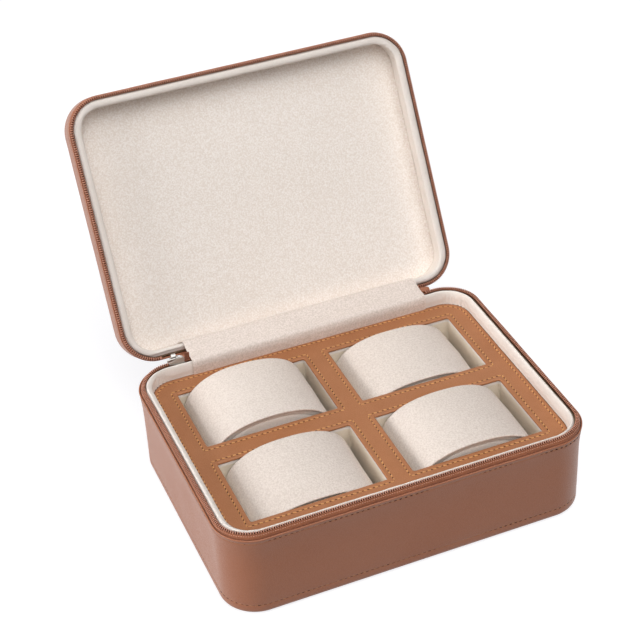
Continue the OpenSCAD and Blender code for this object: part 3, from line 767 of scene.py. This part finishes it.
def lid_skin():
    """The lid's leather, drawn shut: turned lower edge, stitch groove and domed top."""
    bm = bmesh.new()
    section = [(1.9, 61.5), (1.9, 60.6)] + arc_points(1.3, 60.7, 0.6, 0, -180, 6)
    section += [(0.7, 61.8), (0.73, 62.3), (0.86, 62.7), (0.73, 63.1), (0.7, 63.6),
                (0.7, 66.0), (0.7, 69.5)]
    section += arc_points(8.7, 72.8, 8.0, 180, 90, 16)
    section += [(11.5, 80.87), (15.5, 80.92), (20.3, 80.94)]
    verts = sweep(bm, section, arc=20)
    close_at(bm, 80.94, 1)
    sway(verts, lambda co, inwards, out: (0.12 * smooth_noise(*co, 0.05, 21.0),
                                          0.1 * smooth_noise(*co, 0.05, 25.0)))
    finish_piece("lid_skin", bm, TAN_SIDE, "lid", ["lid_leather"], smooth=60, turn=LID)
    # the lid wall's stitches take the darker thread: painted shade on the upright face
    stitch_row("lid_stitches", [rim_line(0.86, 62.7, True)], "lid", SHADED_THREAD, slant=0.0, fill=0.6,
               width=0.45, height=0.34, turn=LID)


# ---- Zipper -----------------------------------------------------------------

def zip_samples(x_left):
    """The zipper's run as samples in order: from its left end beside the hinge round the
    front to its right end."""
    run, back = W / 2 - R, D / 2 - R
    path = [s for s in rim_path(1.5, 24) if not (s[3] > 0.999 and abs(s[0]) < run)]
    start = next(k for k, s in enumerate(path) if s[0] < 0)
    left = [(x_left + (-run - x_left) * k / 4, back, 0.0, 1.0) for k in range(4)]
    right = [(run + (ZIP_RIGHT - run) * k / 4, back, 0.0, 1.0) for k in range(5)]
    return left + path[start:] + path[:start] + right


def slump(out, z):
    """How the base's zipper leans near its teeth: outwards and down on the left wall, a
    little outwards on the right and upwards at the back."""
    share = min(1.0, max(0.0, (z - 52.6) / 2.6))
    left, right, back = max(0.0, -out.x) ** 2, max(0.0, out.x) ** 2, max(0.0, out.y) ** 2
    return -0.55 * share * (left + right), share * (0.15 * back - left)


def zip_run(name, section, x_left, material, body, replaces, turn=None):
    """A strip of the zipper, with its weave laid out in mm along it and across it."""
    bm = bmesh.new()
    legs = [x_left + W / 2 - R, D - 2 * R, W - 2 * R, D - 2 * R, W / 2 - R - ZIP_RIGHT]
    verts = sweep(bm, section, legs, Vector((x_left, D / 2, 0)), math.pi / 2, step=2.0,
                  arc=24, ring=True)
    bmesh.ops.holes_fill(bm, edges=[e for e in bm.edges if e.is_boundary], sides=0)
    number = bm.verts.layers.int["across"]
    across = [0.0]
    for a, b in zip(section, section[1:]):
        across.append(across[-1] + math.hypot(b[0] - a[0], b[1] - a[1]))
    layer = bm.loops.layers.uv.verify()
    for face in bm.faces:
        for loop in face.loops:
            loop[layer].uv = (along_rim(loop.vert.co), across[loop.vert[number]])
    if body == "base":
        sway(verts, lambda co, inwards, out: slump(out, co.z))
    finish_piece(name, bm, material, body, replaces, smooth=50, turn=turn)


def zip_track(samples, inward, z, tilt=(0.0, 1.0), leaning=False):
    """Points and normals of a line along the zipper; tilt leans the normal inwards."""
    track = []
    for s in samples:
        out = Vector((s[2], s[3], 0))
        more, rise = slump(out, z) if leaning else (0.0, 0.0)
        track.append((at(s, inward + more, z + rise),
                      (Vector((0, 0, tilt[1])) - out * tilt[0]).normalized()))
    return track


def coil(name, track, side, body, replaces, turn=None):
    """The coil's turns: at every pitch a ring of nylon spun over from foot to foot."""
    ring = bmesh.new()
    foot = Matrix.Translation((0.82, 0, 0)) @ Matrix.Diagonal((0.28, 0.30, 1, 1))
    bmesh.ops.create_circle(ring, cap_ends=True, segments=6, radius=1.0, matrix=foot)
    bmesh.ops.spin(ring, geom=ring.verts[:] + ring.edges[:] + ring.faces[:], cent=(0, 0, 0),
                   axis=(0, 1, 0), angle=-math.pi, steps=7, use_duplicate=False)
    total, where = stitch_track(track, closed=False)
    places, s = [], PITCH / 2
    while s < total - 0.2:
        centre, _, along = where(s)
        turned = Matrix((along.cross(UP).normalized(), along, UP * side)).transposed()
        places.append(Matrix.Translation(centre) @ turned.to_4x4())
        s += PITCH
    finish_piece(name, scattered(ring, places), COIL, body, replaces,
                 smooth=None, turn=turn)


def zipper():
    """Both halves of the zipper: tape, cord, coil, and the thread that holds the coil."""
    low = [(-0.05, 49.0), (-0.02, 52.2), (0.02, 53.1), (0.2, 53.9), (0.6, 54.6), (1.05, 55.08),
           (1.4, 55.36), (2.0, 55.5), (2.9, 55.5), (3.05, 55.15), (2.75, 54.85), (1.5, 54.5),
           (0.85, 53.6), (0.62, 52.7), (0.6, 49.0)]
    high = [(1.92, 63.5), (1.92, 60.35), (1.8, 59.9), (1.6, 59.4), (1.4, 58.85), (1.3, 58.3),
            (1.5, 58.05), (2.2, 57.98), (2.9, 58.05), (3.0, 58.4), (2.85, 58.8), (2.6, 59.4),
            (2.5, 60.4), (2.5, 63.5)]
    zip_run("base_tape_weave", low, FLAP_X0, TAPE, "base", ["base_tape"])
    zip_run("lid_tape_weave", high, LID_TAPE_LEFT, TAPE, "lid", ["lid_tape"], turn=LID)
    # filler cords inside the coils, coloured dark as painted shade between the turns
    base_cord, lid_cord = (arc_points(TOOTH_MID, z, 0.36, 0, 300, 5) for z in (55.8, 57.7))
    zip_run("base_coil_cord", base_cord, BASE_COIL_LEFT, SHADE_CORD, "base", [])
    zip_run("lid_coil_cord", lid_cord, LID_TAPE_LEFT, SHADE_CORD, "lid", [], turn=LID)
    base_turns = zip_track(zip_samples(BASE_COIL_LEFT), TOOTH_MID, 55.58, leaning=True)
    lid_run = zip_samples(LID_COIL_LEFT)
    coil("base_coil", base_turns, 1, "base", ["base_teeth"])
    coil("lid_coil", zip_track(lid_run, TOOTH_MID, 57.98), -1, "lid", ["lid_teeth"], turn=LID)
    sewn = {"pitch": 1.3, "fill": 0.62, "width": 0.34, "height": 0.24, "slant": 0.0,
            "closed": False, "holes": False}
    base_seam = zip_track(zip_samples(FLAP_X0), 0.84, 54.9, (-0.68, 0.73), True)
    lid_seam = zip_track(lid_run, 1.34, 58.62, (-0.97, -0.24))
    stitch_row("base_zipper_stitches", [base_seam], "base", PINK, **sewn)
    stitch_row("lid_zipper_stitches", [lid_seam], "lid", PINK, turn=LID, **sewn)


def rounded(bm, edges, bevel, segments):
    """Rounds edges over, and returns the new faces."""
    return bmesh.ops.bevel(bm, geom=edges, offset=bevel, offset_type="OFFSET", segments=segments,
                           profile=0.5, affect="EDGES", material=-1)["faces"]


def rounded_bar(bm, centre, size, bevel):
    """A box with rounded edges, in millimetres."""
    verts = bmesh.ops.create_cube(bm, size=1.0)["verts"]
    bmesh.ops.scale(bm, vec=size, verts=verts)
    faces = rounded(bm, list({e for v in verts for e in v.link_edges}), bevel, 4)
    verts = {v for f in faces for v in f.verts} | {v for v in verts if v.is_valid}
    bmesh.ops.translate(bm, vec=centre, verts=list(verts))


def plate(bm, outline, y0, y1, bevel, segments=3, soft=("y0", "y1")):
    """A flat plate standing across Y, from an outline of (x, z) points, with the edges of
    its soft faces rounded."""
    face = bm.faces.new([bm.verts.new((x, y0, z)) for x, z in outline])
    ends = {"y0": set(face.verts)}
    far = copies(bmesh.ops.extrude_face_region(bm, geom=[face])["geom"])[0]
    bmesh.ops.translate(bm, vec=(0, y1 - y0, 0), verts=far)
    ends["y1"] = set(far)
    rims = [e for e in bm.edges if any(ends[end].issuperset(e.verts) for end in soft)]
    rounded(bm, rims, bevel, segments)


def lozenge(length, above, nose, below):
    """The slider's outline: wide at the shoulders, above and below where the zipper
    closes, and drawn in to a share of that at its rounded tail."""
    x0, x1 = SLIDER_X - length / 2, SLIDER_X + length / 2
    shoulder = ((3.2, 1.0), (1.0, 0.98), (0.2, 0.82), (0.0, 0.6))
    points = []
    for a in (math.radians(90 + 30 * k) for k in range(7)):
        reach = nose * (above if math.sin(a) > 0 else below)
        points.append((x0 + 1.5 + 1.5 * math.cos(a), ZIP_Z + reach * math.sin(a)))
    points += [(x1 - back, ZIP_Z - share * below) for back, share in shoulder]
    points.append((x1 - 0.35, ZIP_Z))
    return points + [(x1 - back, ZIP_Z + share * above) for back, share in shoulder[::-1]]


def metal_piece(name, bm, body, replaces=(), smooth=35):
    """Finishes a piece of the slider or of its pull."""
    finish_piece(name, bm, SILVER, body, replaces, smooth=smooth)


def slider():
    """The slider: its two plates, and the wire bail that the pull hangs on."""
    back = D / 2
    bm = bmesh.new()
    plate(bm, lozenge(9.6, 2.3, 0.4, 2.3), back - 3.8, back - 3.2, 0.22, soft=("y1",))
    metal_piece("slider_inner_plate", bm, "slider", ["zip_slider"])
    bm = bmesh.new()
    plate(bm, lozenge(10, 0.9, 0.72, 1.9), back - 1.0, back - 0.3, 0.24)
    rounded_bar(bm, (SLIDER_X + 4.0, back - 2.1, ZIP_Z), (1.5, 2.3, 1.0), 0.3)
    metal_piece("slider_outer_plate", bm, "slider")
    # the bail: wire bent up from the outer plate, across it and down again
    bm = bmesh.new()
    start = Vector((SLIDER_X - 2.15, back - 0.35, ZIP_Z - 0.9))
    bmesh.ops.create_circle(bm, cap_ends=True, segments=12, radius=0.5,
                            matrix=set_along(start, Vector((0, 1, 0)), UP, 2, 2, 2))
    geom = bm.verts[:] + bm.edges[:] + bm.faces[:]
    for run in ((0, 2.1, 0), "bend", (2.9, 0, 0), "bend", (0, -2.1, 0)):
        end = copies(geom)[0]
        if run == "bend":
            middle = sum((v.co for v in end), Vector()) / len(end)
            pivot = middle + Vector((0.7, 0, 0) if middle.x < SLIDER_X else (0, -0.7, 0))
            geom = bmesh.ops.spin(bm, geom=geom, cent=pivot, axis=(0, 0, 1), angle=-math.pi / 2,
                                  steps=6, use_duplicate=False)["geom_last"]
        else:
            geom = bmesh.ops.extrude_face_region(bm, geom=geom)["geom"]
            bmesh.ops.translate(bm, vec=run, verts=copies(geom)[0])
    metal_piece("slider_bridge", bm, "slider", ["slider_bail"], 60)


def pull():
    """The pull: a metal link, and a leather tab of two layers stitched round."""
    bar_y = D / 2 + 2.45
    # the link's eye is turned round the bail, and its neck is clamped over the leather
    bm = bmesh.new()
    centre = Vector((SLIDER_X, bar_y, ZIP_Z))
    verts = [bm.verts.new(centre + Vector((x, r, 0)))
             for r, x in ((0.72, -1.1), (0.84, -1.3), (1.35, -1.3), (1.5, -1.1), (1.5, 1.1),
                          (1.35, 1.3), (0.84, 1.3), (0.72, 1.1))]
    edges = [bm.edges.new(pair) for pair in zip(verts, verts[1:] + verts[:1])]
    bmesh.ops.spin(bm, geom=verts + edges, cent=centre, axis=(1, 0, 0), angle=2 * math.pi,
                   steps=24, use_merge=True, use_duplicate=False)
    rounded_bar(bm, (SLIDER_X, bar_y, ZIP_Z - 3.7), (2.6, 1.5, 5.4), 0.3)
    metal_piece("pull_eye", bm, "pull", ["pull_link"])
    half, thick, round_off, inset = 3.5, 0.9, 2.0, 0.9
    top, bottom = ZIP_Z - 4.5, ZIP_Z - 34.5
    low, high = bottom + round_off, top - round_off
    left, right = SLIDER_X - half + round_off, SLIDER_X + half - round_off
    corners = ((right, high, 0), (left, high, 90), (left, low, 180), (right, low, 270))
    outline = [point for x, z, a in corners
               for point in arc_points(x, z, round_off, a, a + 90, 6)]
    seam = [point for x, z, a in corners
            for point in arc_points(x, z, round_off - inset, a, a + 90, 3)]
    bm = bmesh.new()
    plate(bm, outline, bar_y - thick, bar_y + thick, 0.5, 4, soft=("y0",))
    finish_piece("pull_leather", bm, TAN, "pull", ["pull_tab"], smooth=50)
    lines = [[(Vector((x, bar_y + side * thick, z)), Vector((0, side, 0))) for x, z in seam]
             for side in (-1, 1)]
    stitch_row("pull_stitches", lines, "pull", pitch=2.4, width=0.4, height=0.3, slant=0.1)


# ---- Hinge: lining flap inside, leather spine outside ------------------------

def smooth_curve(points):
    """A smooth line through points, by Catmull-Rom, in six steps from each to the next."""
    points = [Vector(p) for p in points]
    run = [2 * points[0] - points[1]] + points + [2 * points[-1] - points[-2]]
    line = []
    for p0, p1, p2, p3 in zip(run, run[1:], run[2:], run[3:]):
        for t in (k / 6 for k in range(6)):
            line.append(0.5 * (2 * p1 + (p2 - p0) * t + (2 * p0 - 5 * p1 + 4 * p2 - p3) * t * t
                               + (3 * p1 - p0 - 3 * p2 + p3) * t ** 3))
    return line + [points[-1]]


def ribbon(name, line, x0, x1, thickness, material, replaces, wobble):
    """A strip along the hinge, from its (y, z) line, thick and rounded at its edges;
    wobble says how far it lifts and shifts at an x and a share of the line. Returns the
    piece with its width and length laid flat, in metres."""
    last = len(line) - 1
    normals = []
    for k in range(last + 1):
        run = (line[min(last, k + 1)] - line[max(0, k - 1)]).normalized()
        normals.append(Vector((-run.y, run.x)))
    length = sum((b - a).length for a, b in zip(line, line[1:]))
    count = round((x1 - x0) / 2.0)
    rows = []
    for i in range(count + 1):
        x = x0 + (x1 - x0) * i / count
        thin = min(1.0, 0.35 + min(x - x0, x1 - x) / (thickness * 1.2))
        front, back = [], []
        for k, (point, normal) in enumerate(zip(line, normals)):
            lift, shift = wobble(x, k / last)
            half = normal * (thickness / 2 * thin * (0.45 if k in (0, last) else 1.0))
            middle = point + normal * lift
            front.append(Vector((x + shift, *(middle + half))))
            back.append(Vector((x + shift, *(middle - half))))
        rows.append(front + back[::-1])
    bm = bmesh.new()
    verts = cover(bm, rows)
    for row in (verts[0], verts[-1]):
        for k in range(last):
            bm.faces.new([row[k], row[k + 1], row[-2 - k], row[-1 - k]])
    piece = finish_piece(name, bm, material, None, replaces, smooth=60)
    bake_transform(piece)
    return piece, (x1 - x0) * MM, length * MM


def hinge():
    """The soft hinge: the lining's flap inside, and the strip of leather outside."""
    line = smooth_curve([(71.78, 46.9), (71.62, 50.0), (71.55, 53.2), (72.3, 55.9),
                         (74.2, 56.75), (78.0, 56.6), (83.0, 57.5), (86.8, 58.7), (89.6, 58.5),
                         (91.9, 56.9), (94.9, 54.7), (97.7, 52.55), (100.2, 50.75)])

    def soft(x, t):
        mid = math.sin(math.pi * t)
        lift = 0.28 * mid * smooth_noise(x, t * 30, 0, 0.05, 31.0)
        lift += 0.07 * mid * smooth_noise(x, t * 30, 0, 0.22, 35.0)
        return lift, 0.25 * mid * smooth_noise(x, t * 20, 5, 0.04, 38.0)

    def firm(x, t):
        return 0.1 * math.sin(math.pi * t) * smooth_noise(x, t, 0, 0.08, 41.0), 0.0
    piece, wide, long = ribbon("flap_sheet", line, FLAP_X0, FLAP_X1, 0.9, FLAP,
                               ["lining_hinge"], soft)
    spine = smooth_curve([(79.35, 53.55), (79.6, 54.8), (80.9, 55.3), (83.0, 54.4),
                          (85.3, 52.9), (87.35, 51.8)])
    piece, wide, long = ribbon("leather_spine", spine, FLAP_X0 - 3.0, FLAP_X1 + 6.5, 1.2,
                               TAN_SIDE, ["leather_hinge"], firm)


# ---- Cushions ---------------------------------------------------------------

def oval(a, rx, rz):
    """A point of a rather square oval, at an angle."""
    c, s = math.cos(a), math.sin(a)
    share = 2 / 2.35
    return rx * math.copysign(abs(c) ** share, c), rz * math.copysign(abs(s) ** share, s)


def cushion_form(corner):
    """Gives the function that places a point of one cushion."""
    sx, sy = corner
    height = TRAY_Z + RISE[corner] - CUSHION_Z0
    rx, rz = CUSHION_W / 2, height / 2
    centre = Vector((sx * OPEN_X, sy * OPEN_Y, CUSHION_Z0 + rz))
    seed = 10.0 * sx + 3.0 * sy

    def put(angle, y, inwards, share=1.0):
        """A point at an angle and a depth, as uneven as soft stuff is, and leaning over."""
        x, z = oval(angle, (rx - inwards) * share, (rz - inwards) * share)
        up = (z + rz) / height
        wave = 0.3 * smooth_noise(x, y, z, 0.055, seed) + 0.12 * smooth_noise(x, y, z, 0.14, seed)
        k = 1 + wave / rx
        return centre + Vector((x * k, y, z * k + LEAN[corner] * y * up * up))
    return put


def cushion_sleeve(place, put):
    """The padded sleeve: outside from front to back, rolled over each rim and back inside."""
    half = CUSHION_L / 2
    inner = half - 4
    rim = [(-half + 1.9, END_IN), (-half + 0.7, 1.6), (-half + 0.12, 1.2), (-half, 0.75),
           (-half + 0.15, 0.3), (-half + 0.6, 0.06), (-half + 1.4, 0.0), (-half + 3, -0.05)]
    profile = rim + [(-inner + 2 * inner * k / 12, -0.1 - 0.35 * math.sin(math.pi * k / 12))
                     for k in range(13)]
    profile += [(-y, o) for y, o in rim[::-1]] + [(half - 6, 1.8), (0, 1.8), (-half + 6, 1.8)]
    bm = bmesh.new()
    cover(bm, [[put(2 * math.pi * k / AROUND, y, o) for k in range(AROUND)]
               for y, o in profile], closed=True)
    piece = finish_piece("cushion_sleeve_" + place, bm, CUSHION, "cushion_" + place,
                         ["sleeve_" + place], smooth=None)

    def held(k):
        y, inwards = profile[k // AROUND]
        return inwards > 0.5 or abs(y) > half - 1.7
    swell(piece, held)


def cushion_ends(place, put):
    """The end panels: pillowed discs, a little behind the rolled rims."""
    half = CUSHION_L / 2
    rings = (0.985, 0.95, 0.92, 0.89, 0.87, 0.86, 0.85, 0.83, 0.8, 0.75, 0.6, 0.4, 0.2, 0.02)
    bm = bmesh.new()
    for side in (-1, 1):
        disc = bmesh.ops.create_circle(bm, segments=AROUND, radius=1.0)["verts"]
        edges = list({e for v in disc for e in v.link_edges})
        for f in rings:
            made = bmesh.ops.extrude_edge_only(bm, edges=edges)
            verts, edges = copies(made["geom"])
            for v in verts:
                v.co = v.co.normalized() * f
            disc += verts
        bmesh.ops.contextual_create(bm, geom=edges)
        for v in disc:
            f = v.co.length
            bulge = 0.9 * (1 - f * f) + 0.35 - 0.5 * math.exp(-((f - 0.86) / 0.025) ** 2)
            tucked = 1.2 if f > 0.99 else 0
            v.co = put(math.atan2(v.co.y, v.co.x), side * (half - 1.9 + bulge - tucked),
                       END_IN, f)
    finish_piece("cushion_ends_" + place, bm, ENDS, "cushion_" + place,
                 ["ends_" + place], smooth=None)


def cushion_core(place, put):
    """The foam core inside the sleeve."""
    end = CUSHION_L / 2 - 3.4
    bm = bmesh.new()
    front = bmesh.ops.create_circle(bm, cap_ends=True, segments=64, radius=1.0)["verts"]
    back = copies(bmesh.ops.extrude_face_region(bm, geom=bm.faces[:])["geom"])[0]
    for verts, y in ((front, -end), (back, end)):
        for v in verts:
            v.co = put(math.atan2(v.co.y, v.co.x), y, 2.1)
    finish_piece("cushion_core_" + place, bm, FOAM, "cushion_" + place, ["core_" + place],
                 smooth=40)


def cushion(sx, sy):
    """A watch cushion: a padded sleeve, pillowed ends and a foam core."""
    place, put = NAMES[(sx, sy)], cushion_form((sx, sy))
    cushion_sleeve(place, put)
    cushion_ends(place, put)
    cushion_core(place, put)


def pocket_pad(sx, sy):
    """The pad on a pocket's floor: a crowned velvet pillow with a rolled edge."""
    place = NAMES[(sx, sy)]
    bottom, top = 5.05, 10.42
    section = [(3.9, bottom), (1.5, bottom), (0.5, 5.4), (0.0, 6.4), (0.0, 8.2), (0.35, 9.3),
               (1.3, 10.0), (2.6, 10.3), (3.9, top)]
    bm = bmesh.new()
    verts = sweep(bm, section, step=3.0, arc=6, w=OPEN_W + 0.4, d=OPEN_D + 0.4, r=4.0)
    bmesh.ops.translate(bm, vec=(sx * OPEN_X, sy * OPEN_Y, 0), verts=verts)
    close_at(bm, bottom, -1)
    close_at(bm, top, 1)
    piece = finish_piece("floor_pad_" + place, bm, CREAM, "base", ["pad_" + place],
                         smooth=60)


# ---- Build ------------------------------------------------------------------

base_side()
tray()
base_lining()
lid_lining()
lid_panel()
lid_skin()
zipper()
slider()
pull()
hinge()
for corner in NAMES:
    cushion(*corner)
    pocket_pad(*corner)

# ---- Floor, light and camera ------------------------------------------------

def seen_white(m):
    """1 where the camera, gloss or glass looks straight at the stage, 0 for its bounce."""
    return (m.node("LightPath", "Is Camera Ray") + m.node("LightPath", "Is Glossy Ray")
            + m.node("LightPath", "Is Transmission Ray"))


def stage_floor():
    """The paper that the case stands on: white to the camera, grey for its shadows."""
    bm = bmesh.new()
    bmesh.ops.create_grid(bm, x_segments=2, y_segments=2, size=4.0)
    floor = set_up("floor", mesh_of("floor", bm))
    m = Mat("floor_paper", 0.9, Specular_IOR_Level=0.0, Emission_Strength=1.0)
    seen = seen_white(m)
    paper = m.mix(m.noise(0.8, 2.0), (0.36, 0.36, 0.35, 1), (0.34, 0.34, 0.33, 1))
    m.colour(seen, (0.26, 0.26, 0.26, 1), paper)
    m.put(m.shader.inputs["Emission Color"], m.mix(seen, (0, 0, 0, 1), (0.78, 0.78, 0.80, 1)))
    floor.data.materials.append(m.material)
    floor.location.z = -0.0002        # just under the case's foot


def lamp(name, watts, place, size):
    """A round lamp of a size in metres, turned to the case."""
    data = bpy.data.lights.new(name, "AREA")
    data.energy, data.shape, data.size = watts, "DISK", size
    light = set_up(name, data)
    light.location = place
    aim = Vector((0, 0, 0.04)) - light.location
    light.rotation_euler = aim.to_track_quat("-Z", "Y").to_euler()


def world():
    """The studio's walls: white to the camera, dim for the light they give back."""
    w = bpy.context.scene.world or bpy.data.worlds.new("studio")
    bpy.context.scene.world = w
    w.use_nodes = True
    back = w.node_tree.nodes["Background"]
    sky = Nodes(w.node_tree)
    sky.put(back.inputs["Color"], sky.mix(seen_white(sky), (0.12, 0.12, 0.125, 1), (1, 1, 1, 1)))
    back.inputs["Strength"].default_value = 1.0


def camera():
    """The camera: where it stands in metres, its turn, height and tilt in degrees."""
    focal, image, sensor = 1722.43, 640.0, 36.0     # pixels, pixels and millimetres
    place = (-0.28408, -0.68844, 0.65204)
    az, el, roll = (math.radians(a) for a in (-21.07, 35.97, -2.88))
    back = Vector((math.sin(az) * math.cos(el), -math.cos(az) * math.cos(el), math.sin(el)))
    right = (-back).cross(UP).normalized()
    up = right.cross(-back)
    right, up = (right * math.cos(roll) + up * math.sin(roll),
                 up * math.cos(roll) - right * math.sin(roll))
    data = bpy.data.cameras.new("camera")
    data.sensor_fit = "HORIZONTAL"
    data.sensor_width = sensor
    data.lens = focal * sensor / image
    data.clip_end = 20.0
    cam = set_up("camera", data)
    turned = Matrix((right, up, back)).transposed()
    cam.matrix_world = Matrix.Translation(place) @ turned.to_4x4()
    bpy.context.scene.camera = cam


stage_floor()
world()
lamp("top", 16.5, (-0.1, -0.5, 1.75), 1.8)
lamp("left", 23.0, (-1.75, 0.15, 0.62), 1.2)
lamp("front_high", 22.0, (0.1, -1.45, 1.95), 2.2)
camera()
scene = bpy.context.scene
scene.view_settings.view_transform = "Standard"
scene.view_settings.look = "None"
